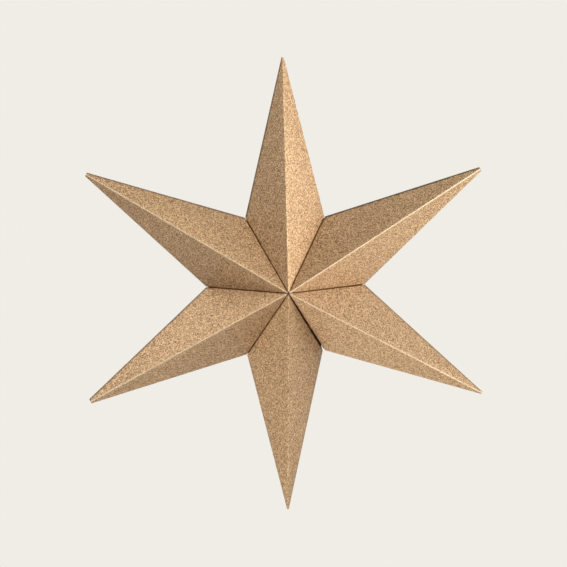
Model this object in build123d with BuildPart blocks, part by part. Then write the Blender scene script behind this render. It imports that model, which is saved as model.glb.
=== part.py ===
"""A folded card star with six hollow points, made to be hung by its top point.

Each point is one blank of thin card. It is creased along its front and back ridges and
along its two outer edges, and closed by a glue tab inside the back ridge. Narrow glue flaps
turn in along its flanks, and the flank between them stays open, so that the point can lie
flat. The points are glued flap to flap in a fan that opens round the Y axis. The fan's two
end flanks meet at the lower right in an open seam, held by two pairs of round closures.

The front of the star faces -Y, and its top point goes up along +Z. Sizes are in
millimetres, and angles are in degrees.
"""

import os
from collections import namedtuple
from math import asin, cos, degrees, hypot, radians, sin, tan

from build123d import *

# Overall form, measured from the star's centre
tip_radius = 150.0
corner_radius = 52.5
half_depth = 50.0
tip_cut = 4.0  # how far short of where its folds would meet a point is cut off

# Card
card = 0.4
fold_radius = 0.15  # inside a crease
apex_relief = 0.7  # radius left open where the six points meet, front and back

# Glue flaps on the flanks, and the glue tab inside each back ridge
flap_width = 12.0
flap_gap = 1.0  # from a flap's ends to the star's axis and to the middle plane
window_reach = 0.6  # of the cut between the flaps, to either side of the flank
tab_width = 9.0
tab_taper = 45.0
tab_setback = 7.0  # from the apex, and from the end of the point

# Open seam between the fan's two end points
seam_gap = 2.2  # at the inner corner
free_corner_radius = 50.5

# Round closures across the open seam
closure_diameter = 9.0
closure_place = 0.62  # share of the way from the apex to the inner corner

# The fan, in order from the open seam, each point with its left and right inner corners
point_names = ["lower_right", "upper_right", "top", "upper_left", "lower_left", "bottom"]
pitch = 360 / len(point_names)
first_angle = -pitch / 2

Corner = namedtuple("Corner", "radius angle")
seam_half_angle = degrees(asin(seam_gap / 2 / free_corner_radius))
glued_corner = Corner(corner_radius, pitch / 2)
seam_corner = Corner(free_corner_radius, pitch / 2)
free_corner = Corner(free_corner_radius, pitch / 2 - seam_half_angle)

LEFT, RIGHT = 1, -1
FRONT, BACK = 1, -1
front_apex = Vector(0, 0, half_depth)
back_apex = Vector(0, 0, -half_depth)
folds_meet = Vector(tip_radius + tip_cut, 0, 0)


def point_plane(angle):
    """A point's own plane: x runs out along the point, and z faces the front."""
    direction = (cos(radians(angle)), 0, sin(radians(angle)))
    return Plane(origin=(0, 0, 0), x_dir=direction, z_dir=(0, -1, 0))


def flank_plane(corner, side):
    """A flank's plane: x runs from the star's axis to the corner, and y to the front."""
    along = Vector(1, 0, 0).rotate(Axis.Z, side * corner.angle)
    return Plane(origin=(0, 0, 0), x_dir=along, z_dir=along.cross(Vector(0, 0, 1)))


def corner_position(corner, side):
    """Where a flank ends, midway between front and back."""
    return flank_plane(corner, side).from_local_coords(Vector(corner.radius, 0, 0))


def closed_form(left, right):
    """A point as a closed block with sharp folds: two apexes, two corners and its end."""
    corners = [corner_position(left, LEFT), corner_position(right, RIGHT)]
    with BuildPart() as form:
        ConvexPolyhedron([front_apex, back_apex, folds_meet] + corners)
    return form.part


def long_creases(form):
    """The two ridges and the two outer edges, which all run on to the point's end."""
    return form.edges().filter_by_position(Axis.X, corner_radius / 2, tip_radius + tip_cut)


def rounded_outside(form):
    """The block cut off at its tip, with the outside radius on its long creases."""
    with BuildPart() as outside:
        add(form)
        split(bisect_by=Plane.YZ.offset(tip_radius), keep=Keep.BOTTOM)
        tip = outside.faces().sort_by(Axis.X)[-1]
        fillet(long_creases(outside) - tip.edges(), radius=fold_radius + card)
    return outside.part


def rounded_inside(form):
    """The space inside the card, with the inside radius on its long creases."""
    with BuildPart() as inside:
        add(form)
        offset(amount=-card, kind=Kind.INTERSECTION)
        fillet(long_creases(inside), radius=fold_radius)
    return inside.part


def flap_outline(corner, face):
    """A flank's front or back flap, as wide all along its fold, and cut off at its ends."""
    fold_length = hypot(corner.radius, half_depth)
    drop = flap_width * fold_length / corner.radius
    reach = flap_width * fold_length / half_depth
    fold_start = half_depth * (1 - flap_gap / corner.radius)
    fold_end = corner.radius * (1 - flap_gap / half_depth)
    return [
        (flap_gap, face * fold_start),
        (flap_gap, face * (fold_start - drop)),
        (fold_end - reach, face * flap_gap),
        (fold_end, face * flap_gap),
    ]


def flank_window(corner, side):
    """A cutter for the open part of a flank, which is all of it but its two flaps."""
    with BuildPart() as window:
        with BuildSketch(flank_plane(corner, side)):
            with BuildLine():
                Polyline((0, half_depth), (corner.radius, 0), (0, -half_depth), close=True)
            make_face()
            for face in (FRONT, BACK):
                with BuildLine():
                    Polyline(*flap_outline(corner, face), close=True)
                make_face(mode=Mode.SUBTRACT)
        extrude(amount=window_reach, both=True)
    return window.part


def ridge_tab(left, inside):
    """The glue tab, flat against the inside of the left back facet, along the ridge."""
    ridge = folds_meet - back_apex
    inward = ridge.cross(corner_position(left, LEFT) - back_apex)
    facet = Plane(origin=back_apex, x_dir=ridge, z_dir=inward)
    start = tab_setback
    end = ridge.length - tip_cut - tab_setback
    taper = tab_width / tan(radians(tab_taper))
    with BuildPart() as tab:
        with BuildSketch(facet.offset(card)):
            with BuildLine():
                Polyline(
                    (start, 0),
                    (start + taper, tab_width),
                    (end - taper, tab_width),
                    (end, 0),
                    close=True,
                )
            make_face()
        extrude(amount=card)
        add(inside, mode=Mode.INTERSECT)
    return tab.part


def folded_point(left, right):
    """One point, folded from its blank, on its own plane."""
    form = closed_form(left, right)
    outside = rounded_outside(form)
    inside = rounded_inside(form)
    left_window = flank_window(left, LEFT)
    right_window = flank_window(right, RIGHT)
    tab = ridge_tab(left, inside)
    with BuildPart() as point:
        add(outside)
        add(inside, mode=Mode.SUBTRACT)
        add(left_window, mode=Mode.SUBTRACT)
        add(right_window, mode=Mode.SUBTRACT)
        Cylinder(radius=apex_relief, height=2 * half_depth, mode=Mode.SUBTRACT)
        add(tab)
    return point.part


def closure_disc(face):
    """Half a closure, from the free left flank's flap to the middle of the open seam."""
    fold = Vector(free_corner.radius, -face * half_depth)
    inward = Vector(-half_depth, -face * free_corner.radius).normalized()
    apex = Vector(0, face * half_depth)
    spot = apex + fold * closure_place + inward * (flap_width / 2)
    with BuildPart() as disc:
        with BuildSketch(flank_plane(free_corner, LEFT)):
            with Locations(spot):
                Circle(closure_diameter / 2)
        extrude(amount=-seam_gap)
        split(bisect_by=flank_plane(seam_corner, LEFT), keep=Keep.TOP)
    return disc.part


def place(form, angle, name):
    """Turns a piece to its place in the fan and writes it."""
    with BuildPart() as piece:
        with Locations(point_plane(angle)):
            add(form)
    piece.part.label = name
    export_step(piece.part, f"parts/{name}.step")


def main():
    os.makedirs("parts", exist_ok=True)
    glued_point = folded_point(glued_corner, glued_corner)
    forms = [glued_point] * len(point_names)
    forms[0] = folded_point(glued_corner, free_corner)
    forms[-1] = folded_point(free_corner, glued_corner)
    last_angle = first_angle + (len(point_names) - 1) * pitch
    for number, name in enumerate(point_names):
        place(forms[number], first_angle + number * pitch, f"star_point_{name}")
    for where, face in (("front", FRONT), ("back", BACK)):
        disc = closure_disc(face)
        place(disc, last_angle, f"closure_hook_{where}")
        place(mirror(disc, about=Plane.XZ), first_angle, f"closure_loop_{where}")


main()
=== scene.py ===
"""Dresses the folded card star: its six points as sheets of gold card, its closures and its stage.

The star's front faces -Y and its top point goes up along +Z. Sizes are in metres and angles
in degrees. Each point is worked out in its own coordinates, with x out along the point, y
across it to the left as seen from the front, and z to the front, and is then turned to its
place in the fan.
"""

from math import cos, hypot, pi, radians, sin

import bmesh
import bpy
import numpy as np
from mathutils import Matrix, Vector


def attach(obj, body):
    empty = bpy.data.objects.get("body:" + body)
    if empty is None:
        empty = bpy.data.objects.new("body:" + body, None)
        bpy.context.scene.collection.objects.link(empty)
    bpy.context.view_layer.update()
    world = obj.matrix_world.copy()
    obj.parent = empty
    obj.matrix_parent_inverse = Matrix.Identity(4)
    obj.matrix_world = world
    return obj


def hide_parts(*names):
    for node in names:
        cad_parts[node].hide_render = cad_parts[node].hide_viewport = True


bl_info = {
    "name": "Folded Card Star",
    "version": (1, 0, 0),
    "blender": (4, 5, 0),
    "location": "View3D > Sidebar > Card Star",
    "description": "Builds a hanging star of six folded card points, its closures and its stage",
    "category": "Add Mesh",
}

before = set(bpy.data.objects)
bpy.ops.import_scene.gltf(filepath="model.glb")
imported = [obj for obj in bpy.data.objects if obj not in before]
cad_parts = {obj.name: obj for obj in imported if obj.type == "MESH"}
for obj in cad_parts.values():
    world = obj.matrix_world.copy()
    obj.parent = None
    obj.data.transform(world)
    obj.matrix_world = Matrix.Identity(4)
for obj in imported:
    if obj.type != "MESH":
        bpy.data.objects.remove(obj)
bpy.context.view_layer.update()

# The fold pattern, as in the CAD part
TIP_RADIUS = 0.150
HALF_DEPTH = 0.050
GLUED_CORNER = 0.0525
PITCH = 60.0
FLAP_WIDTH = 0.012
FLAP_GAP = 0.001
APEX_RELIEF = 0.00035
TAB_WIDTH = 0.009
TAB_SETBACK = 0.007
LEFT, RIGHT = 1, -1
FRONT, BACK = 1, -1

# Clearances that keep the sheets from lying in one plane
GLUE_LINE = 0.00003
TAB_CLEARANCE = 0.00004
RAW_EDGE = 0.0003  # how far the cut edge of the back ridge stands back from the fold
CROWDED_SIDE = 0.0018  # length of a section's side below which its creases grow tighter

# Each point: its angle, the width of its blunt end, how far the end leans to the left, how
# pale its ridges are painted, partly as wear and partly as a painted highlight, how much
# painted shade darkens its left and right outer edges, and how far its panels bow
POINTS = {
    "lower_right": dict(
        angle=-30.0, end=0.0020, lean=0.0009, wear_and_highlight=0.42, edge_shade=(0.5, 0.0), bow=0.0003
    ),
    "upper_right": dict(
        angle=30.0, end=0.0031, lean=0.0003, wear_and_highlight=0.65, edge_shade=(1.0, 0.0), bow=-0.0002
    ),
    "top": dict(
        angle=90.0, end=0.0017, lean=0.0002, wear_and_highlight=0.1, edge_shade=(0.8, 0.0), bow=0.0003
    ),
    "upper_left": dict(
        angle=150.0, end=0.0030, lean=-0.0002, wear_and_highlight=0.45, edge_shade=(0.1, 0.7), bow=0.0002
    ),
    "lower_left": dict(
        angle=210.0, end=0.0036, lean=-0.0005, wear_and_highlight=0.5, edge_shade=(0.0, 0.8), bow=-0.0002
    ),
    "bottom": dict(
        angle=270.0, end=0.0014, lean=-0.0003, wear_and_highlight=0.0, edge_shade=(0.2, 0.2), bow=0.0004
    ),
}

# The open seam lies between the first point's right flank and the second one's left flank. Each
# flank stands back from the seam's middle by a step all along, and by a spread more at its inner
# corner. Behind, the left one's are negative: it stands over the middle, so that the seam can't
# be seen through.
SEAM_POINTS = {RIGHT: "lower_right", LEFT: "bottom"}
SEAM_CORNERS = {RIGHT: 0.0505, LEFT: 0.0498}  # each flank's inner corner, from the star's axis
SEAM_STEPS = {
    RIGHT: {FRONT: 0.0001, BACK: 0.0005},
    LEFT: {FRONT: 0.0002, BACK: -0.0002},
}
SEAM_SPREADS = {
    RIGHT: {FRONT: 0.0001, BACK: 0.0014},
    LEFT: {FRONT: 0.0005, BACK: -0.0008},
}
SEAM_TURN_DEPTH = 0.0045  # depth behind the middle plane at which the flanks have changed over

# Round closures across the open seam
CLOSURE_RADIUS = 0.0045
CLOSURE_PLACE = 0.62  # share of the way from the apex to the inner corner
CLOSURE_DEPTH = 0.0072  # from the fold to the pad's centre
CLOSURE_ROUND = 0.00015  # how far in from the rim its rounding starts
CLOSURE_RISE = 0.2  # share of the pad's thickness that the rounding takes

# How far the front apex stands off the star's axis, to the right and up
APEX_DRIFT = (-0.0008, -0.0005)

# Slow waves in the panels
WAVE_CYCLES = (1.0, 1.7, 2.6)  # along a panel's length
WAVE_SLANT = 1.5  # the most, in radians, that a wave is late on one side of its panel

# How finely the pieces are divided
PANELS = 4
PANEL_COLUMNS = 20
PANEL_ROWS = 36
CREASE_STEPS = 6
FOLD_STEPS = 5
FLAP_ROWS = 5
TAB_COLUMNS = 5
GUARD = 0.03  # share of a panel beside a crease or a bend that its even divisions leave out
SECOND_ROW = 0.008  # share of a panel's length at which its second row lies
CLOSURE_SIDES = 32
FLOOR_RINGS = 12
FLOOR_SIDES = 96
FLOOR_HUB = 0.02  # share of the floor's radius that is left open in its middle
SHARP_ANGLE = 50.0
MERGE_DISTANCE = 0.000001

# Speckle: small cells with soft clumps between them
NOISE_MIDDLE = 0.5
CLUMP_SCALE = 0.25  # clumps to a cell's width
CLUMP_SHARE = 0.15  # of a clump's tone, to a cell's

# Ragged bands along creases, edges and folds
RAGGED_SCALE = 700.0  # waves of the noise to a metre
RAGGED_REACH = 2.0  # how far apart the noise spreads a band's edge, over the band's width
BAND_STEEPNESS = 2.0  # at 2 a band is full out to half its width

# The gold coat. A tone is a share of the bare gold's
FLAKE_CONTRAST = 1.5
FLAKE_TINT = (1.0, 1.15, 1.35)  # how much more a flake's tone counts in green and blue
DARKEST_FLAKE = 0.02
FLAKE_GLOSS = 0.15
FLAKE_DEPTH = 0.00004
COAT_METALLIC = 0.3
COAT_ROUGHNESS = 0.5
COAT_SPECULAR = 0.3
# The ridges are paled partly by wear and partly as a painted highlight
RIDGE_BAND = 0.0004
# Painted shade along the outer edges, strongest on those that face up
EDGE_SHADE_BAND = 0.0018
EDGE_SHADE_TONE = 0.25
# Painted shade in the valley folds between points and over the glue flaps
FOLD_SHADE_BAND = 0.0009
FOLD_SHADE = 0.95  # how much of the fold's painted shade shows
FOLD_SHADE_TONE = (0.34, 0.17, 0.01)  # the fold's painted shade as a share of the gold, in red, green and blue
SEAM_SHADE_TONE = 0.1  # painted shade on the folds and flaps at the open seam, as a share of another fold's

# The other finishes
CORE_CONTRAST = 0.15
CORE_ROUGHNESS = 0.9
PILE_CONTRAST = 0.3
NYLON_ROUGHNESS = 0.8
PAPER_ROUGHNESS = 0.9
FLOOR_GLOW = 0.7  # of the floor as the camera sees it, over what the lamps give it

# The camera, fitted to the photograph
CAMERA_AZIMUTH = -2.92
CAMERA_ELEVATION = 5.20
CAMERA_ROLL = -0.709
CAMERA_DISTANCE = 1.2
CAMERA_LENS = 115.2
CAMERA_SHIFT = (-0.00385, 0.00367)
SENSOR_WIDTH = 36.0

# Lamps, as azimuth, elevation, distance, width and power: azimuth 0 is in front and 90 to the right
LAMPS = {
    "left_high": (-100.0, 40.0, 1.6, 0.6, 4.5),
    "left_front": (-40.0, -20.0, 1.6, 0.6, 7.7),
    "near_left_low": (-45.0, -65.0, 0.6, 0.3, 1.2),
    "near_right": (75.0, 10.0, 0.6, 0.3, 2.8),
    "near_right_low": (75.0, -40.0, 0.6, 0.3, 0.87),
    "near_right_high": (45.0, 60.0, 0.6, 0.3, 0.71),
    "near_front": (0.0, 35.0, 0.6, 0.3, 1.75),
}


class CardSettings(bpy.types.PropertyGroup):
    """Sizes and colours of the card that the points are folded from."""

    thickness: bpy.props.FloatProperty(
        name="Thickness", description="Thickness of the card",
        default=0.0004, min=0.0001, max=0.001, unit="LENGTH",
    )
    ridge_radius: bpy.props.FloatProperty(
        name="Ridge Radius", description="Outside radius of the front and back creases",
        default=0.00045, min=0.0004, max=0.002, unit="LENGTH",
    )
    edge_radius: bpy.props.FloatProperty(
        name="Edge Radius", description="Outside radius of the two outer edges of a point",
        default=0.0006, min=0.0003, max=0.002, unit="LENGTH",
    )
    fold_reach: bpy.props.FloatProperty(
        name="Fold Reach", description="How far the bend into a glue flap spreads each way",
        default=0.0004, min=0.0002, max=0.002, unit="LENGTH",
    )
    waviness: bpy.props.FloatProperty(
        name="Waviness", description="Height of the slow waves in a panel",
        default=0.00012, min=0.0, max=0.001, unit="LENGTH",
    )
    gold: bpy.props.FloatVectorProperty(
        name="Gold", description="Mean colour of the coated face",
        default=(0.455, 0.290, 0.153), size=3, min=0.0, max=1.0, subtype="COLOR",
    )
    # Painted light and shade: panels right of a ridge are made lighter and left ones darker, as the
    # lamps would fall on them
    painted_side_light: bpy.props.FloatProperty(
        name="Side Contrast",
        description="Share by which right panels are lighter than the mean, and left ones darker",
        default=0.13, min=0.0, max=0.5,
    )
    core: bpy.props.FloatVectorProperty(
        name="Core", description="Colour of the card where its coat is cut or cracked",
        default=(0.92, 0.75, 0.52), size=3, min=0.0, max=1.0, subtype="COLOR",
    )
    flake: bpy.props.FloatProperty(
        name="Flake Size", description="Width of one flake in the gold coat",
        default=0.00046, min=0.0001, max=0.003, unit="LENGTH",
    )


class ClosureSettings(bpy.types.PropertyGroup):
    """Colours of the hook-and-loop closures across the open seam."""

    nylon: bpy.props.FloatVectorProperty(
        name="Nylon", description="Colour of the hook-and-loop nylon",
        default=(0.63, 0.57, 0.45), size=3, min=0.0, max=1.0, subtype="COLOR",
    )
    pile: bpy.props.FloatProperty(
        name="Pile Size", description="Width of one hook or loop",
        default=0.0005, min=0.0001, max=0.002, unit="LENGTH",
    )


class StageSettings(bpy.types.PropertyGroup):
    """The star's surroundings: the paper-white world, the floor and the lamps."""

    paper_white: bpy.props.FloatVectorProperty(
        name="Paper White", description="Colour of the background and the floor",
        default=(0.871, 0.847, 0.791), size=3, min=0.0, max=1.0, subtype="COLOR",
    )
    ambient: bpy.props.FloatProperty(
        name="Ambient", description="Strength of the light that comes from all round",
        default=0.02, min=0.0, max=1.0,
    )
    lamp_level: bpy.props.FloatProperty(
        name="Lamp Level", description="Factor on the power of every lamp",
        default=1.0, min=0.0, max=10.0,
    )
    floor_drop: bpy.props.FloatProperty(
        name="Floor Drop", description="Depth of the floor below the star's centre",
        default=0.75, min=0.2, max=3.0, unit="LENGTH",
    )
    floor_radius: bpy.props.FloatProperty(
        name="Floor Radius", description="Radius of the round floor",
        default=1.5, min=0.5, max=5.0, unit="LENGTH",
    )


# Shapes


def unit(vector):
    """The vector at length 1."""
    return vector / np.linalg.norm(vector)


def flank_corners(name):
    """The inner corner's radius on a point's left and right."""
    return {
        side: SEAM_CORNERS[side] if SEAM_POINTS[side] == name else GLUED_CORNER
        for side in (LEFT, RIGHT)
    }


def seam_measure(measure, depth):
    """A flank's step or spread at the open seam, at depths in front of the middle.

    It is front + (back - front) * t * t * (3 - 2 t), with t = -depth / the turn's depth, from 0
    to 1.
    """
    t = np.clip(-np.asarray(depth) / SEAM_TURN_DEPTH, 0, 1)
    return measure[FRONT] + (measure[BACK] - measure[FRONT]) * t * t * (3 - 2 * t)


def flank_angle(name, side, depth):
    """The angle in radians between a point's axis and its flank, at depths in front of the middle.

    It is half the pitch, less the spread / the corner's radius at the open seam.
    """
    angle = np.full(np.shape(depth), radians(PITCH / 2))
    if SEAM_POINTS[side] != name:
        return angle
    return angle - seam_measure(SEAM_SPREADS[side], depth) / SEAM_CORNERS[side]


def flank_step(name, side, depth):
    """How far a flank stands back from the plane at its angle through the star's axis."""
    if SEAM_POINTS[side] != name:
        return np.full(np.shape(depth), GLUE_LINE)
    return seam_measure(SEAM_STEPS[side], depth)


def flank_values(value, name, sides, depth):
    """A flank's angle or step for each column of a sheet, by the column's side and depth."""
    return np.where(sides == LEFT, value(name, LEFT, depth), value(name, RIGHT, depth))


def corner_place(name, side, radius):
    """The inner corner's x and y in the point's own coordinates, with y away from its axis.

    They are r cos a + step * sin a and r sin a - step * cos a, with a the flank's angle.
    """
    angle, step = flank_angle(name, side, 0.0), flank_step(name, side, 0.0)
    return radius * np.cos(angle) + step * np.sin(angle), radius * np.sin(angle) - step * np.cos(angle)


def meeting_distance(places, end_width):
    """How far out a point's folds meet, for its blunt end to have the given width.

    The outer edges run straight from the corner (a, b), so that half the width at a distance
    x is b * (meet - x) / (meet - a), which gives meet where x is the tip's radius.
    """
    a, b = np.mean(places, axis=0)
    return (b * TIP_RADIUS - end_width / 2 * a) / (b - end_width / 2)


def crease_arc(corner, before, after, radius):
    """Offsets from a section's corner of the round crease that touches both of its sides.

    The centre is on the bisector, at the radius / sin(half the corner's angle). The points
    turn evenly about it, from one side's outward normal to the other's.
    """
    to_before, to_after = unit(before - corner), unit(after - corner)
    half = np.arccos(np.clip(to_before @ to_after, -1, 1)) / 2
    centre = unit(to_before + to_after) * radius / np.sin(half)
    first = to_before * (to_before @ centre) - centre
    last = to_after * (to_after @ centre) - centre
    start, end = np.arctan2(first[1], first[0]), np.arctan2(last[1], last[0])
    turn = (end - start + pi) % (2 * pi) - pi
    angles = start + turn * np.linspace(0, 1, CREASE_STEPS + 1)
    return centre + radius * np.column_stack([np.cos(angles), np.sin(angles)])


def section_columns(widths, card):
    """The columns of a point's sheet, in order round its section at the star's axis.

    A section is the rhombus of back ridge, left edge, front ridge, right edge and back ridge.
    It shrinks evenly towards the point's end and its creases keep their radius, so a column
    passes through scale * corner + shift, with scale = 1 - x / meet. The sheet starts at the
    raw edge over the back ridge and ends in the tab inside it. Each column has its panel's
    number, or -1 in a crease, and the shares of a side that it lies across its panel and from
    the nearer ridge.
    """
    back, front = np.array([0, -HALF_DEPTH]), np.array([0, HALF_DEPTH])
    left, right = np.array([widths[LEFT], 0]), np.array([-widths[RIGHT], 0])
    ridge, edge = card.ridge_radius, card.edge_radius
    to_left, to_right = unit(left - back), unit(right - back)
    opening = np.arccos(to_left @ to_right)
    inset = to_right * (card.thickness + TAB_CLEARANCE) / np.sin(opening)
    arcs = [
        to_left * RAW_EDGE + np.zeros((1, 2)),
        crease_arc(left, back, front, edge),
        crease_arc(front, left, right, ridge),
        crease_arc(right, front, back, edge),
        inset + crease_arc(back, right, left, ridge),
    ]
    corners = [back, left, front, right, back]
    side_length = (hypot(*(left - back)) + hypot(*(right - back))) / 2
    share = np.linspace(GUARD, 1 - GUARD, PANEL_COLUMNS)
    across = share[:, None]
    parts = {key: [] for key in ("corner", "shift", "panel", "share", "from_ridge")}

    def put(corner, shift, **values):
        parts["corner"].append(np.broadcast_to(corner, shift.shape))
        parts["shift"].append(shift)
        for key, value in values.items():
            parts[key].append(np.broadcast_to(value, len(shift)))

    for number, arc in enumerate(arcs):
        at_ridge = number % 2 == 0
        from_middle = np.linalg.norm(arc - arc[len(arc) // 2], axis=1) / side_length
        put(corners[number], arc, panel=-1, share=0.0, from_ridge=from_middle if at_ridge else 1.0)
        if number < PANELS:
            corner = corners[number] + (corners[number + 1] - corners[number]) * across
            shift = arc[-1] + (arcs[number + 1][0] - arc[-1]) * across
            put(corner, shift, panel=number, share=share, from_ridge=share if at_ridge else 1 - share)
    columns = {key: np.concatenate(value) for key, value in parts.items()}
    columns["tab"] = np.zeros(len(columns["panel"]))
    last = {key: np.repeat(value[-1:], TAB_COLUMNS, axis=0) for key, value in columns.items()}
    last["tab"] = np.linspace(0, 1, TAB_COLUMNS + 1)[1:]
    last["from_ridge"] = np.ones(TAB_COLUMNS)
    columns = {key: np.concatenate([columns[key], last[key]]) for key in columns}
    columns["tab_direction"] = to_left
    columns["side_length"] = side_length
    return columns


def ray_starts(columns, sides, angle, step, lean, meet):
    """Where each column of a point's sheet crosses its own flank plane, as a distance x.

    A column is at y = lean * x + (1 - x / meet) * corner + shift. The flank is at
    side * y = x * tan(angle) - step / cos(angle), and x is solved from the two.
    """
    across = columns["corner"][:, 0]
    height = sides * (across + columns["shift"][:, 0]) + step / np.cos(angle)
    closing = np.tan(angle) - sides * (lean - across / meet)
    return np.maximum(height / closing, APEX_RELIEF)


def section_points(columns, x, lean, meet):
    """Points of a sheet's columns at the distances x, as (..., columns, 3).

    y and z are scale * corner + shift, with scale = 1 - x / meet, and y leans by lean * x. The
    tab adds its own share of the tab's width, which tapers to nothing at its ends.
    """
    scale = 1 - x / meet
    side = columns["side_length"]
    fit = np.clip(scale * side / CROWDED_SIDE, 0, 1)
    from_ends = np.minimum(x - TAB_SETBACK, TIP_RADIUS - TAB_SETBACK - x)
    tab_width = np.clip(np.minimum(from_ends, scale * side / 2), RAW_EDGE, TAB_WIDTH)
    yz = scale[..., None] * columns["corner"] + fit[..., None] * columns["shift"]
    yz = yz + (columns["tab"] * tab_width)[..., None] * columns["tab_direction"]
    return np.concatenate([x[..., None], yz[..., :1] + lean * x[..., None], yz[..., 1:]], axis=-1)


def panel_normals(widths, meet):
    """Outward normals of a point's four panels, from back left round to back right."""
    end = np.array([meet, 0, 0])
    back, front = np.array([0, 0, -HALF_DEPTH]), np.array([0, 0, HALF_DEPTH])
    left, right = np.array([0, widths[LEFT], 0]), np.array([0, -widths[RIGHT], 0])
    pairs = [(back, left), (left, front), (front, right), (right, back)]
    return np.array([unit(np.cross(b - a, end - a)) for a, b in pairs])


def panel_swell(columns, along, bow, waviness, seed):
    """How far each panel stands out from flat: a bow and slow waves, both nothing at its edges.

    With s across a panel and g along it, both from 0 to 1, the swell is sin(pi s) * sin(pi g)
    * (bow + waviness * the sum of three sines of s and g with drawn phases).
    """
    draw = np.random.default_rng(seed)
    panel, share = columns["panel"], columns["share"]
    waves = np.zeros_like(along)
    for cycles in WAVE_CYCLES:
        phase = draw.uniform(0, 2 * pi, PANELS + 1)
        slant = draw.uniform(-WAVE_SLANT, WAVE_SLANT, PANELS + 1)
        waves += np.sin(2 * pi * cycles * along + phase[panel] + slant[panel] * share)
    window = np.sin(pi * share) * np.sin(pi * along)
    return np.where(panel >= 0, window * (bow + waviness * waves), 0)


def flap_inner_edge(fold, radius):
    """Where a flap's inner edge lies opposite each point of its fold, in the flank's own plane.

    The inner edge is parallel to the fold at the flap's width, between a cut beside the star's
    axis and a cut beside its middle plane. It is shared out as the fold is: at the share
    fold_x / radius of the way from the first cut to the second.
    """
    length = np.hypot(radius, HALF_DEPTH)
    drop = FLAP_WIDTH * length / radius
    reach = FLAP_WIDTH * length / HALF_DEPTH
    at_axis = HALF_DEPTH * (1 - FLAP_GAP / radius) - drop
    first = np.concatenate([np.full_like(radius, FLAP_GAP), at_axis], axis=1)
    at_middle = radius * (1 - FLAP_GAP / HALF_DEPTH) - reach
    last = np.concatenate([at_middle, np.full_like(radius, FLAP_GAP)], axis=1)
    inner = first + (fold[:, :1] / radius) * (last - first)
    return inner * np.column_stack([np.ones(len(fold)), np.sign(fold[:, 1])])


def flap_rows(fold_points, wall_points, sides, angle, radius, reach):
    """Rows of the glue flaps, from their inner edges out to the bend that joins the panels.

    The bend is the curve (1 - t)^2 * wall + 2 t (1 - t) * fold + t^2 * flap between points at
    the same reach on either side of the fold.
    """
    along = np.column_stack([np.cos(angle), sides * np.sin(angle)])
    fold = np.column_stack([(fold_points[:, :2] * along).sum(1), fold_points[:, 2]])
    step = flap_inner_edge(fold, radius[:, None]) - fold
    to_inner = np.column_stack([along * step[:, :1], step[:, 1]])
    width = np.linalg.norm(to_inner, axis=1, keepdims=True)
    t = np.linspace(1, 0, FLAP_ROWS)[:, None, None]
    flat = fold_points + to_inner / width * (reach + (width - reach) * t)
    t = np.linspace(1, 0, FOLD_STEPS + 1)[1:-1, None, None]
    bend = (1 - t) ** 2 * wall_points + t ** 2 * flat[-1] + 2 * t * (1 - t) * fold_points
    return np.concatenate([flat, bend])


def sheet_faces(panel, row_count, flap_count):
    """Faces of a sheet's grid, as rows of four points. The flaps have only those of one panel."""
    count = len(panel)
    kept = np.ones((row_count - 1, count - 1), bool)
    kept[:flap_count] = (panel[1:] >= 0) & (panel[1:] == panel[:-1])
    index = np.arange(row_count * count).reshape(row_count, count)
    return np.stack([index[:-1, :-1], index[:-1, 1:], index[1:, 1:], index[1:, :-1]], -1)[kept]


def sheet_marks(name, card, columns, sides, side_lengths, from_fold, flap_count):
    """The marks that the gold coat reads at each point of a sheet's grid.

    The distances from the nearer ridge and the nearer outer edge are shares * the length of a
    side at that place. The tab counts as a whole side away from both.
    """
    shape, grid = POINTS[name], from_fold.shape
    from_edge = np.where(columns["tab"] > 0, 1, 1 - columns["from_ridge"])
    at_seam = np.array([SEAM_POINTS[side] == name for side in sides])
    # Painted light and shade on the panels: right ones lighter, left ones darker
    tone = np.tile(1 - sides * card.painted_side_light, (grid[0], 1))
    # Painted shade in the open seam's slit: its flaps and bends are made nearly black
    tone[:flap_count, at_seam] = SEAM_SHADE_TONE
    return {
        "from_ridge": columns["from_ridge"] * side_lengths,
        "from_edge": from_edge * side_lengths,
        "from_fold": from_fold,
        # Pale ridges: partly wear, partly a painted highlight
        "ridge_wear_and_highlight": np.full(grid, shape["wear_and_highlight"]),
        # Painted shade on each side's outer edge
        "edge_painted_shade": np.broadcast_to(np.where(sides == LEFT, *shape["edge_shade"]), grid),
        "panel_painted_shading": tone,
    }


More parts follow.
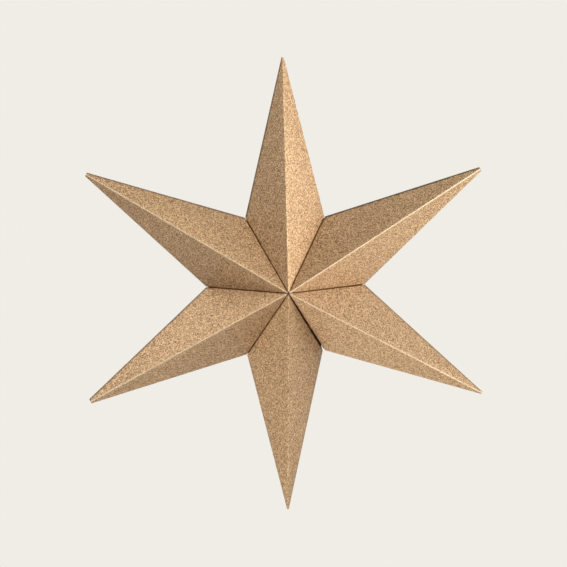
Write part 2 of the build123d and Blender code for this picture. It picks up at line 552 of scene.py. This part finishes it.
def point_sheet(name, card, seed):
    """One point's outer face as a grid: its points, faces, flat pattern and marks.

    Rows run from the flaps' inner edges over the bend and out along the panels to the blunt
    end. Columns run round the section. Only the columns of the panels carry flaps.
    """
    shape = POINTS[name]
    corners = flank_corners(name)
    places = {side: corner_place(name, side, radius) for side, radius in corners.items()}
    meet = meeting_distance(list(places.values()), shape["end"])
    lean = shape["lean"] / TIP_RADIUS
    widths = {side: (y - side * lean * x) / (1 - x / meet) for side, (x, y) in places.items()}
    columns = section_columns(widths, card)
    sides = np.where(columns["corner"][:, 0] + columns["shift"][:, 0] >= 0, LEFT, RIGHT)
    depth = columns["corner"][:, 1] * (1 - np.mean([x for x, y in places.values()]) / meet)
    angle, step = (flank_values(value, name, sides, depth) for value in (flank_angle, flank_step))
    radius = np.where(sides == LEFT, corners[LEFT], corners[RIGHT])
    starts = ray_starts(columns, sides, angle, step, lean, meet)
    bend_starts = starts + card.fold_reach
    along = np.concatenate([[0, SECOND_ROW], np.linspace(GUARD, 1, PANEL_ROWS)])[:, None]
    x = bend_starts + (TIP_RADIUS - bend_starts) * along
    walls = section_points(columns, x, lean, meet)
    along = np.broadcast_to(along, x.shape)
    swell = panel_swell(columns, along, shape["bow"], card.waviness, seed)
    walls = walls + swell[..., None] * panel_normals(widths, meet)[columns["panel"]]
    fold = section_points(columns, starts, lean, meet)
    flaps = flap_rows(fold, walls[0], sides, angle, radius, card.fold_reach)
    points = np.concatenate([flaps, walls])

    faces = sheet_faces(columns["panel"], len(points), len(flaps))
    out = np.concatenate([np.broadcast_to(starts, flaps.shape[:2]), x])
    side_lengths = (1 - out / meet) * columns["side_length"]
    from_fold = np.linalg.norm(points - fold, axis=-1)
    from_fold[: len(flaps)] = 0  # painted shade: a flap is darkened all over like its fold
    centre = int(np.argmax(columns["corner"][:, 1])) + CREASE_STEPS // 2
    pattern = flat_pattern(points, fold, len(flaps), meet, centre)
    marks = sheet_marks(name, card, columns, sides, side_lengths, from_fold, len(flaps))
    return points.reshape(-1, 3), faces, pattern, {key: mark.ravel() for key, mark in marks.items()}


def flat_pattern(points, fold, flap_count, meet, centre):
    """The sheet unrolled, in metres. Its panels all meet in one point, so it opens like a cone.

    A place at a distance r from that point, and at a summed angle a round it from the front
    ridge, goes to (r cos a, r sin a). A step along a row turns by the square root of (its length
    squared - the change of r squared), over r. A flap goes on outwards past its fold.
    """
    steps = np.linalg.norm(np.diff(points, axis=1), axis=-1)
    from_meet = np.linalg.norm(points - [meet, 0, 0], axis=-1)
    across = np.sqrt(np.maximum(steps ** 2 - np.diff(from_meet, axis=1) ** 2, 0))
    turns = across / ((from_meet[:, 1:] + from_meet[:, :-1]) / 2)
    angle = np.concatenate([np.zeros((len(points), 1)), np.cumsum(turns, axis=1)], axis=1)
    angle -= angle[:, centre : centre + 1]
    angle[:flap_count] = angle[flap_count + 1]
    angle[flap_count] = angle[flap_count + 1]
    past_fold = np.linalg.norm(points - fold, axis=-1)[:flap_count]
    from_meet[:flap_count] = np.linalg.norm(fold - [meet, 0, 0], axis=-1) + past_fold
    return np.stack([from_meet * np.cos(angle), from_meet * np.sin(angle)], -1).reshape(-1, 2)


def ring_faces(ring_count, side_count):
    """Faces between closed rings, each of which is one row of a grid of points."""
    index = np.arange(ring_count * side_count).reshape(ring_count, side_count)
    beside = np.roll(index, -1, axis=1)
    return np.stack([index[:-1], beside[:-1], beside[1:], index[1:]], -1).reshape(-1, 4)


def closure_pad(face, side):
    """One half of a closure: a round pad from its own flank to the middle of the open seam.

    At each place the seam's two walls are at -side * (radius * tan(opening) + step /
    cos(opening)) from the seam's middle, with opening the angle that is missing from half the
    pitch, and the middle of the gap is halfway between them. The pad's profile goes from its
    centre on the wall out to its rounded rim, and back to its centre in the middle of the gap.
    """
    radius = SEAM_CORNERS[side]
    fold = np.array([radius, -face * HALF_DEPTH])
    inward = unit(np.array([-HALF_DEPTH, -face * radius]))
    spot = np.array([0, face * HALF_DEPTH]) + fold * CLOSURE_PLACE + inward * CLOSURE_DEPTH
    outwards = np.array([0, 0.5, 1 - CLOSURE_ROUND / CLOSURE_RADIUS, 1])
    rise = np.array([0, 0, 0, CLOSURE_RISE])
    reach = np.concatenate([outwards, outwards[::-1]])[:, None] * CLOSURE_RADIUS
    level = np.concatenate([rise, 1 - rise[::-1]])[:, None]
    turns = np.linspace(0, 2 * pi, CLOSURE_SIDES, endpoint=False)[None, :]
    out, depth = spot[0] + reach * np.cos(turns), spot[1] + reach * np.sin(turns)
    walls = {}
    for s, name in SEAM_POINTS.items():
        opening = radians(PITCH / 2) - flank_angle(name, s, depth)
        walls[s] = -s * (out * np.tan(opening) + flank_step(name, s, depth) / np.cos(opening))
    middle = (walls[LEFT] + walls[RIGHT]) / 2
    across = walls[side] + (middle - walls[side]) * level
    points = np.stack([out, across, depth], -1).reshape(-1, 3)
    return points, ring_faces(*out.shape)[:, ::-side]


def turned(points, angle):
    """Points turned from a point's own coordinates into the star's, with its front drifted.

    x goes to (cos, 0, sin) of the angle, y to (-sin, 0, cos) and z to (0, -1, 0). The front half
    then leans over with its apex, by the drift * depth / the half depth.
    """
    c, s = cos(radians(angle)), sin(radians(angle))
    share = np.maximum(points[:, 2:], 0) / HALF_DEPTH
    drift = np.array([APEX_DRIFT[0], 0, APEX_DRIFT[1]])
    return points @ np.array([[c, 0, s], [-s, 0, c], [0, -1, 0]]) + share * drift


def mesh_piece(name, points, faces, pattern=None, marks=None):
    """A new object from arrays of points and faces, with unused points left out."""
    used, order = np.unique(faces, return_inverse=True)
    mesh = bpy.data.meshes.new(name)
    mesh.from_pydata(points[used].tolist(), [], order.reshape(faces.shape).tolist())
    mesh.validate()
    if pattern is not None:
        layer = mesh.uv_layers.new(name="Pattern")
        corners = np.zeros(len(mesh.loops), np.int32)
        mesh.loops.foreach_get("vertex_index", corners)
        layer.uv.foreach_set("vector", pattern[used][corners].astype(np.float32).ravel())
    for key, values in (marks or {}).items():
        attribute = mesh.attributes.new(key, "FLOAT", "POINT")
        attribute.data.foreach_set("value", values[used].astype(np.float32))
    mesh.shade_smooth()
    piece = bpy.data.objects.new(name, mesh)
    bpy.context.scene.collection.objects.link(piece)
    return piece


def merge_poles(piece):
    """Merges the points that lie on one spot, where a turned profile starts and ends."""
    form = bmesh.new()
    form.from_mesh(piece.data)
    bmesh.ops.remove_doubles(form, verts=form.verts, dist=MERGE_DISTANCE)
    bmesh.ops.recalc_face_normals(form, faces=form.faces)
    form.to_mesh(piece.data)
    form.free()
    piece.data.set_sharp_from_angle(angle=radians(SHARP_ANGLE))


def thicken(piece, thickness):
    """Gives a sheet its card's thickness inwards, with the cut rims in the second material."""
    solidify = piece.modifiers.new("Card", "SOLIDIFY")
    solidify.thickness = thickness
    solidify.offset = -1
    solidify.use_even_offset = True
    solidify.material_offset_rim = 1
    graph = bpy.context.evaluated_depsgraph_get()
    solid = bpy.data.meshes.new_from_object(piece.evaluated_get(graph))
    piece.modifiers.clear()
    sheet, piece.data = piece.data, solid
    bpy.data.meshes.remove(sheet)
    solid.name = piece.name
    solid.set_sharp_from_angle(angle=radians(SHARP_ANGLE))


# Materials


def feed(tree, socket, value):
    """Links an output to a socket, or sets the socket to a number or a colour."""
    if isinstance(value, bpy.types.NodeSocket):
        tree.links.new(value, socket)
    else:
        socket.default_value = value


def add_node(tree, kind, **settings):
    """A shader node of the given kind: sockets are set by name, and the rest as properties."""
    node = tree.nodes.new("ShaderNode" + kind)
    for key, value in settings.pop("sockets", {}).items():
        node.inputs[key].default_value = value
    for key, value in settings.items():
        setattr(node, key, value)
    return node


def math_node(tree, operation, first, second, clamp=False):
    """A Math node on two outputs or numbers, as its own output."""
    node = add_node(tree, "Math", operation=operation, use_clamp=clamp)
    feed(tree, node.inputs[0], first)
    feed(tree, node.inputs[1], second)
    return node.outputs[0]


def vector_node(tree, operation, first, second):
    """A Vector Math node on two outputs, colours or numbers, as its own output."""
    node = add_node(tree, "VectorMath", operation=operation)
    feed(tree, node.inputs[0], first)
    feed(tree, node.inputs["Scale" if operation == "SCALE" else 1], second)
    return node.outputs[0]


def mix_colour(tree, factor, first, second):
    """A Mix node between two colours, as its own output."""
    node = add_node(tree, "Mix", data_type="RGBA")
    for key, value in (("Factor", factor), ("A", first), ("B", second)):
        feed(tree, next(s for s in node.inputs if s.name == key and s.enabled), value)
    return next(s for s in node.outputs if s.enabled)


def new_group(name, inputs, outputs):
    """An empty node group with float and vector sockets, and its two end nodes."""
    tree = bpy.data.node_groups.new(name, "ShaderNodeTree")
    for label, kind in inputs.items():
        tree.interface.new_socket(label, in_out="INPUT", socket_type=kind)
    for label, kind in outputs.items():
        tree.interface.new_socket(label, in_out="OUTPUT", socket_type=kind)
    return tree, tree.nodes.new("NodeGroupInput"), tree.nodes.new("NodeGroupOutput")


def speckle_group():
    """Small cells of their own tone with soft clumps between them: gold flakes, or nylon pile."""
    tree, given, made = new_group(
        "Speckle",
        {"Vector": "NodeSocketVector", "Size": "NodeSocketFloat", "Contrast": "NodeSocketFloat"},
        {"Tone": "NodeSocketFloat", "Height": "NodeSocketFloat"},
    )
    scale = math_node(tree, "DIVIDE", 1.0, given.outputs["Size"])
    place = vector_node(tree, "SCALE", given.outputs["Vector"], scale)
    cells = add_node(tree, "TexVoronoi", voronoi_dimensions="3D", sockets={"Scale": 1.0})
    clumps = add_node(tree, "TexNoise", sockets={"Scale": CLUMP_SCALE, "Detail": 1.0})
    feed(tree, cells.inputs["Vector"], place)
    feed(tree, clumps.inputs["Vector"], place)
    parts = add_node(tree, "SeparateColor")
    feed(tree, parts.inputs[0], cells.outputs["Color"])
    cell = math_node(tree, "SUBTRACT", parts.outputs[0], NOISE_MIDDLE)
    clump = math_node(tree, "SUBTRACT", clumps.outputs["Fac"], NOISE_MIDDLE)
    both = math_node(tree, "ADD", cell, math_node(tree, "MULTIPLY", clump, CLUMP_SHARE))
    contrast = math_node(tree, "MULTIPLY", both, given.outputs["Contrast"])
    feed(tree, made.inputs["Tone"], math_node(tree, "ADD", contrast, 1.0))
    feed(tree, made.inputs["Height"], cells.outputs["Distance"])
    return tree


def band_group():
    """A ragged band along a line: full beside the line, and fading to nothing at its width.

    It is the amount * the steepness * (1 - distance / width), held between 0 and 1, with the
    distance shifted by noise.
    """
    tree, given, made = new_group(
        "Ragged Band",
        {
            "Vector": "NodeSocketVector",
            "Distance": "NodeSocketFloat",
            "Width": "NodeSocketFloat",
            "Amount": "NodeSocketFloat",
        },
        {"Mask": "NodeSocketFloat"},
    )
    width = given.outputs["Width"]
    ragged = add_node(tree, "TexNoise", sockets={"Scale": RAGGED_SCALE, "Detail": 4.0})
    feed(tree, ragged.inputs["Vector"], given.outputs["Vector"])
    shift = math_node(tree, "SUBTRACT", ragged.outputs["Fac"], NOISE_MIDDLE)
    shift = math_node(tree, "MULTIPLY", math_node(tree, "MULTIPLY", shift, width), RAGGED_REACH)
    distance = math_node(tree, "ADD", given.outputs["Distance"], shift)
    near = math_node(tree, "SUBTRACT", 1.0, math_node(tree, "DIVIDE", distance, width), clamp=True)
    near = math_node(tree, "MULTIPLY", near, BAND_STEEPNESS, clamp=True)
    mask = math_node(tree, "MULTIPLY", near, given.outputs["Amount"], clamp=True)
    feed(tree, made.inputs["Mask"], mask)
    return tree


def shared_group(name, build):
    """The node group of that name, built the first time it is wanted."""
    return bpy.data.node_groups.get(name) or build()


def place_group(tree, group, **values):
    """A group node with its inputs linked or set by name."""
    node = tree.nodes.new("ShaderNodeGroup")
    node.node_tree = group
    for key, value in values.items():
        feed(tree, node.inputs[key], value)
    return node


def new_material(name):
    """A material with only a Principled shader, its node tree and that shader."""
    material = bpy.data.materials.new(name)
    material.use_nodes = True
    tree = material.node_tree
    return material, tree, tree.nodes["Principled BSDF"]


def bump(tree, height, depth):
    """A Bump node of a real depth, as its own output."""
    node = add_node(tree, "Bump", sockets={"Strength": 1.0, "Distance": depth})
    feed(tree, node.inputs["Height"], height)
    return node.outputs[0]


def gold_card(card, speckle, band):
    """The card's gold coat: flakes of their own tone, ridges paled partly by wear and partly as a
    painted highlight, painted shade on the outer edges, in the folds and on the flaps, and panels
    painted lighter right of a ridge and darker left of it.
    """
    material, tree, surface = new_material("Gold Card")
    pattern = add_node(tree, "UVMap", uv_map="Pattern").outputs[0]
    mark = {
        name: add_node(tree, "Attribute", attribute_name=name).outputs["Fac"]
        for name in ("from_ridge", "from_edge", "from_fold", "ridge_wear_and_highlight", "edge_painted_shade", "panel_painted_shading")
    }
    flakes = place_group(tree, speckle, Vector=pattern, Size=card.flake, Contrast=FLAKE_CONTRAST)
    tone = flakes.outputs["Tone"]
    ridge, edge, fold = (
        place_group(tree, band, Vector=pattern, Distance=distance, Width=width, Amount=amount).outputs[0]
        for distance, width, amount in (
            (mark["from_ridge"], RIDGE_BAND, mark["ridge_wear_and_highlight"]),
            (mark["from_edge"], EDGE_SHADE_BAND, mark["edge_painted_shade"]),
            (mark["from_fold"], FOLD_SHADE_BAND, FOLD_SHADE),
        )
    )
    tinted = [c * tint for c, tint in zip(card.gold, FLAKE_TINT)]
    flake = vector_node(tree, "SCALE", tinted, math_node(tree, "SUBTRACT", tone, 1.0))
    colour = vector_node(tree, "ADD", card.gold, flake)
    colour = vector_node(tree, "MAXIMUM", colour, [DARKEST_FLAKE] * 3)
    # Painted shade along the outer edges
    colour = mix_colour(tree, edge, colour, (*(c * EDGE_SHADE_TONE for c in card.gold), 1))
    # Painted shade in the valley folds and over the flaps
    colour = mix_colour(tree, fold, colour, (*(c * t for c, t in zip(card.gold, FOLD_SHADE_TONE)), 1))
    # Painted light and shade: each panel lighter on the right of a ridge, darker on the left, and much
    # darker at the open seam
    colour = vector_node(tree, "SCALE", colour, mark["panel_painted_shading"])
    # Ridges paled towards the core's colour: partly wear, partly a painted highlight
    colour = mix_colour(tree, ridge, colour, (*card.core, 1))
    feed(tree, surface.inputs["Base Color"], colour)
    bare = math_node(tree, "SUBTRACT", 1.0, ridge)
    # The painted fold shade also raises the metallic, which darkens it further
    metallic = math_node(tree, "MAXIMUM", math_node(tree, "MULTIPLY", bare, COAT_METALLIC), fold)
    feed(tree, surface.inputs["Metallic"], metallic)
    gloss = math_node(tree, "MULTIPLY", tone, FLAKE_GLOSS)
    rough = math_node(tree, "SUBTRACT", COAT_ROUGHNESS + FLAKE_GLOSS, gloss)
    feed(tree, surface.inputs["Roughness"], rough)
    feed(tree, surface.inputs["Specular IOR Level"], COAT_SPECULAR)
    feed(tree, surface.inputs["Normal"], bump(tree, flakes.outputs["Height"], FLAKE_DEPTH))
    return material


def card_core(card, speckle):
    """The pale pulp of the card at its cut rims."""
    material, tree, surface = new_material("Card Core")
    place = add_node(tree, "TexCoord").outputs["Object"]
    fibres = place_group(tree, speckle, Vector=place, Size=card.flake, Contrast=CORE_CONTRAST)
    colour = vector_node(tree, "SCALE", card.core, fibres.outputs["Tone"])
    feed(tree, surface.inputs["Base Color"], colour)
    feed(tree, surface.inputs["Roughness"], CORE_ROUGHNESS)
    return material


def closure_nylon(closure, speckle):
    """Hook-and-loop nylon, with a short pile."""
    material, tree, surface = new_material("Closure Nylon")
    place = add_node(tree, "TexCoord").outputs["Object"]
    pile = place_group(tree, speckle, Vector=place, Size=closure.pile, Contrast=PILE_CONTRAST)
    colour = vector_node(tree, "SCALE", closure.nylon, pile.outputs["Tone"])
    feed(tree, surface.inputs["Base Color"], colour)
    feed(tree, surface.inputs["Roughness"], NYLON_ROUGHNESS)
    feed(tree, surface.inputs["Normal"], bump(tree, pile.outputs["Height"], closure.pile / 2))
    return material


def seen_rays(tree):
    """1 for the rays that the camera, gloss and clear materials send, and 0 for bounced light."""
    rays = add_node(tree, "LightPath")
    seen = rays.outputs["Is Camera Ray"]
    for label in ("Is Glossy Ray", "Is Transmission Ray"):
        seen = math_node(tree, "MAXIMUM", seen, rays.outputs[label])
    return seen


def paper_white(stage):
    """The floor's matt paper, which is seen as pale as the background."""
    material, tree, surface = new_material("Paper White")
    feed(tree, surface.inputs["Base Color"], (*stage.paper_white, 1))
    feed(tree, surface.inputs["Roughness"], PAPER_ROUGHNESS)
    feed(tree, surface.inputs["Emission Color"], (*stage.paper_white, 1))
    glow = math_node(tree, "MULTIPLY", seen_rays(tree), FLOOR_GLOW)
    feed(tree, surface.inputs["Emission Strength"], glow)
    return material


# Stage


def pale_world(stage):
    """A paper-white background that the camera and reflections see, over a weaker ambient light."""
    world = bpy.data.worlds.new("Paper World")
    bpy.context.scene.world = world
    world.use_nodes = True
    tree = world.node_tree
    background = tree.nodes["Background"]
    feed(tree, background.inputs["Color"], (*stage.paper_white, 1))
    strength = add_node(tree, "MapRange", sockets={"To Min": stage.ambient, "To Max": 1.0})
    feed(tree, strength.inputs["Value"], seen_rays(tree))
    feed(tree, background.inputs["Strength"], strength.outputs[0])


def direction(azimuth, elevation):
    """The unit vector towards a place round the star: azimuth 0 is in front, and 90 to the right."""
    a, e = radians(azimuth), radians(elevation)
    return Vector((sin(a) * cos(e), -cos(a) * cos(e), sin(e)))


def soft_lamp(name, azimuth, elevation, distance, size, power):
    """A round lamp that faces the star's centre and isn't seen itself."""
    light = bpy.data.lights.new(name, "AREA")
    light.shape, light.size, light.energy = "DISK", size, power
    lamp = bpy.data.objects.new(name, light)
    towards = direction(azimuth, elevation)
    lamp.location = towards * distance
    lamp.rotation_mode = "QUATERNION"
    lamp.rotation_quaternion = towards.to_track_quat("Z", "Y")
    lamp.visible_camera = False
    bpy.context.scene.collection.objects.link(lamp)


def fitted_camera():
    """The camera that the photograph was taken with, turned by its roll about its own view."""
    data = bpy.data.cameras.new("Camera")
    data.sensor_width, data.lens = SENSOR_WIDTH, CAMERA_LENS
    data.shift_x, data.shift_y = CAMERA_SHIFT
    camera = bpy.data.objects.new("Camera", data)
    back = direction(CAMERA_AZIMUTH, CAMERA_ELEVATION)
    camera.location = back * CAMERA_DISTANCE
    camera.rotation_mode = "QUATERNION"
    roll = Matrix.Rotation(radians(CAMERA_ROLL), 3, "Z").to_quaternion()
    camera.rotation_quaternion = back.to_track_quat("Z", "Y") @ roll
    bpy.context.scene.collection.objects.link(camera)
    bpy.context.scene.camera = camera


def round_floor(stage):
    """A flat disc below the star: rings at even radii, each point at (r cos t, r sin t)."""
    radii = np.linspace(FLOOR_HUB, 1, FLOOR_RINGS)[:, None] * stage.floor_radius
    turns = np.linspace(0, 2 * pi, FLOOR_SIDES, endpoint=False)[None, :]
    x, y = radii * np.cos(turns), radii * np.sin(turns)
    points = np.stack([x, y, np.full_like(x, -stage.floor_drop)], -1).reshape(-1, 3)
    return mesh_piece("floor", points, ring_faces(*x.shape)[:, ::-1])


# Operators


class StarPoints(bpy.types.Operator):
    """Build the six folded points as sheets of gold card."""

    bl_idname = "card_star.points"
    bl_label = "Star Points"

    def execute(self, context):
        card = context.scene.star_card
        speckle, band = shared_group("Speckle", speckle_group), shared_group("Ragged Band", band_group)
        coat, core = gold_card(card, speckle, band), card_core(card, speckle)
        for seed, (name, shape) in enumerate(POINTS.items()):
            points, faces, pattern, marks = point_sheet(name, card, seed)
            points = turned(points, shape["angle"])
            piece = mesh_piece(f"card_point_{name}", points, faces, pattern, marks)
            piece.data.materials.append(coat)
            piece.data.materials.append(core)
            thicken(piece, card.thickness)
            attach(piece, "root")
            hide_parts(f"star_point_{name}")
        return {"FINISHED"}


class StarClosures(bpy.types.Operator):
    """Build the round closures across the open seam in nylon."""

    bl_idname = "card_star.closures"
    bl_label = "Closures"

    def execute(self, context):
        nylon = closure_nylon(context.scene.star_closure, shared_group("Speckle", speckle_group))
        seam = POINTS[SEAM_POINTS[RIGHT]]["angle"] - PITCH / 2
        for half, side in (("loop", RIGHT), ("hook", LEFT)):
            for where, face in (("front", FRONT), ("back", BACK)):
                points, faces = closure_pad(face, side)
                piece = mesh_piece(f"pad_{half}_{where}", turned(points, seam), faces)
                merge_poles(piece)
                piece.data.materials.append(nylon)
                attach(piece, "root")
                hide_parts(f"closure_{half}_{where}")
        return {"FINISHED"}


class StarStage(bpy.types.Operator):
    """Set up the pale world, the floor, the lamps and the camera."""

    bl_idname = "card_star.stage"
    bl_label = "Stage"

    def execute(self, context):
        stage = context.scene.star_stage
        pale_world(stage)
        floor = round_floor(stage)
        floor.data.materials.append(paper_white(stage))
        for name, (*place, power) in LAMPS.items():
            soft_lamp(f"lamp_{name}", *place, power * stage.lamp_level)
        fitted_camera()
        context.scene.view_settings.view_transform = "Standard"
        return {"FINISHED"}


class CardStarPanel(bpy.types.Panel):
    """Lists the star's pieces and their settings."""

    bl_idname = "VIEW3D_PT_card_star"
    bl_label = "Card Star"
    bl_space_type = "VIEW_3D"
    bl_region_type = "UI"
    bl_category = "Card Star"

    def draw(self, context):
        for operator, settings in (
            (StarPoints, context.scene.star_card),
            (StarClosures, context.scene.star_closure),
            (StarStage, context.scene.star_stage),
        ):
            box = self.layout.box()
            box.operator(operator.bl_idname)
            for key in settings.__annotations__:
                box.prop(settings, key)


CLASSES = (
    CardSettings, ClosureSettings, StageSettings, StarPoints, StarClosures, StarStage, CardStarPanel,
)


def register():
    for cls in CLASSES:
        bpy.utils.register_class(cls)
    bpy.types.Scene.star_card = bpy.props.PointerProperty(type=CardSettings)
    bpy.types.Scene.star_closure = bpy.props.PointerProperty(type=ClosureSettings)
    bpy.types.Scene.star_stage = bpy.props.PointerProperty(type=StageSettings)


def unregister():
    del bpy.types.Scene.star_stage, bpy.types.Scene.star_closure, bpy.types.Scene.star_card
    for cls in reversed(CLASSES):
        bpy.utils.unregister_class(cls)


def main():
    register()
    bpy.ops.card_star.points()
    bpy.ops.card_star.closures()
    bpy.ops.card_star.stage()


if __name__ == "__main__":
    main()
